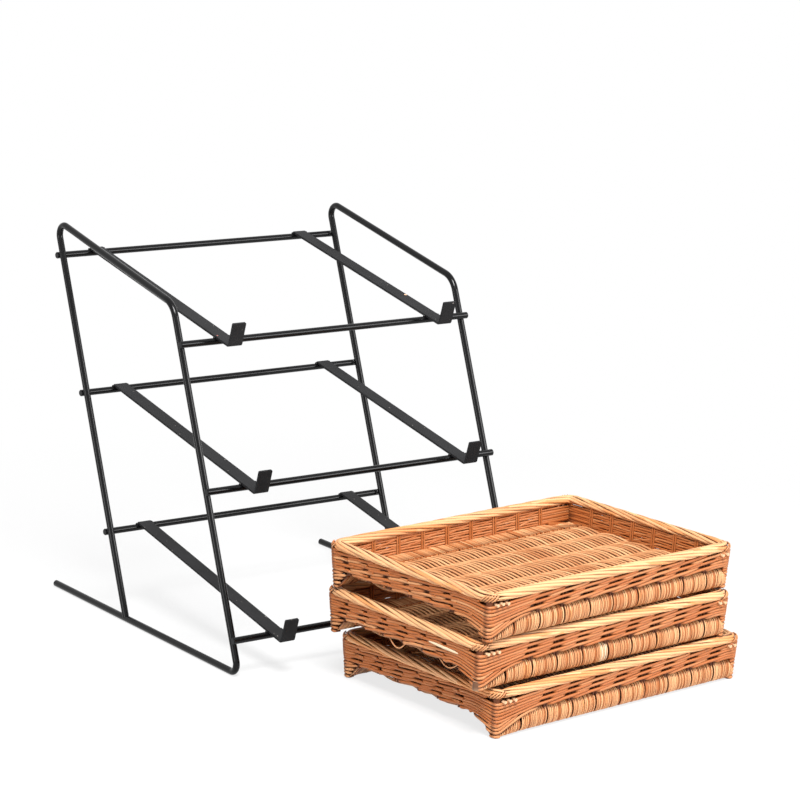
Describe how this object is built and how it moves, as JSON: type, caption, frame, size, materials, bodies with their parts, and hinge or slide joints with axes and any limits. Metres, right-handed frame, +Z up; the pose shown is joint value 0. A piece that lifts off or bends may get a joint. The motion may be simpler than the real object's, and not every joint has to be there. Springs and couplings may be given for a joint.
{
  "type": "basket display stand",
  "caption": "Sloping wire display stand with lipped flat-bar tiers between bent wire side frames, and its shallow woven willow trays stacked in front.",
  "frame": {"origin": "on the counter, in the middle of the ground that the stand and the stack of trays cover together", "axes": "+X to the right across the stand, +Y from its front to its back, +Z up"},
  "size_m": [0.5684, 0.8418, 0.5212],
  "materials": {
    "wire_paint": "satin black coated round wire",
    "bar_paint": "matt black coated flat bar",
    "bead_paint": "coated weld beads",
    "willow_border": "buff willow, thick plaited rods",
    "willow_wall": "buff willow, waled in rows",
    "willow_roll": "buff willow, closely packed thin rods",
    "willow_base": "buff willow, close plain weave",
    "willow_post": "buff willow, wrapped corner stakes"
  },
  "bodies": {
    "stand": {"side_frame_left": "wire_paint", "side_frame_right": "wire_paint", "front_rod_bottom": "wire_paint", "rear_rod_bottom": "wire_paint", "shelf_bar_bottom_left": "bar_paint", "shelf_bar_bottom_right": "bar_paint", "front_rod_middle": "wire_paint", "rear_rod_middle": "wire_paint", "shelf_bar_middle_left": "bar_paint", "shelf_bar_middle_right": "bar_paint", "front_rod_top": "wire_paint", "rear_rod_top": "wire_paint", "shelf_bar_top_left": "bar_paint", "shelf_bar_top_right": "bar_paint", "rod_weld_beads": "bead_paint", "bar_weld_beads": "bead_paint"},
    "tray_bottom": {"tray_bottom_base": "willow_base", "tray_bottom_front_roll": "willow_roll", "tray_bottom_front_wall": "willow_wall", "tray_bottom_rear_roll": "willow_roll", "tray_bottom_rear_wall": "willow_wall", "tray_bottom_left_wall": "willow_wall", "tray_bottom_right_wall": "willow_wall", "tray_bottom_corner_posts": "willow_post", "tray_bottom_border": "willow_border"},
    "tray_middle": {"tray_middle_base": "willow_base", "tray_middle_front_roll": "willow_roll", "tray_middle_front_wall": "willow_wall", "tray_middle_rear_roll": "willow_roll", "tray_middle_rear_wall": "willow_wall", "tray_middle_left_wall": "willow_wall", "tray_middle_right_wall": "willow_wall", "tray_middle_corner_posts": "willow_post", "tray_middle_border": "willow_border"},
    "tray_top": {"tray_top_base": "willow_base", "tray_top_front_roll": "willow_roll", "tray_top_front_wall": "willow_wall", "tray_top_rear_roll": "willow_roll", "tray_top_rear_wall": "willow_wall", "tray_top_left_wall": "willow_wall", "tray_top_right_wall": "willow_wall", "tray_top_corner_posts": "willow_post", "tray_top_border": "willow_border"}
  },
  "joints": [
    {"name": "lift_bottom_tray", "type": "slide", "parent": "stand", "child": "tray_bottom", "axis": [0, 0, 1], "range_m": [0, 0.25]},
    {"name": "lift_middle_tray", "type": "slide", "parent": "tray_bottom", "child": "tray_middle", "axis": [0, 0, 1], "range_m": [0, 0.25]},
    {"name": "lift_top_tray", "type": "slide", "parent": "tray_middle", "child": "tray_top", "axis": [0, 0, 1], "range_m": [0, 0.25]}
  ]
}
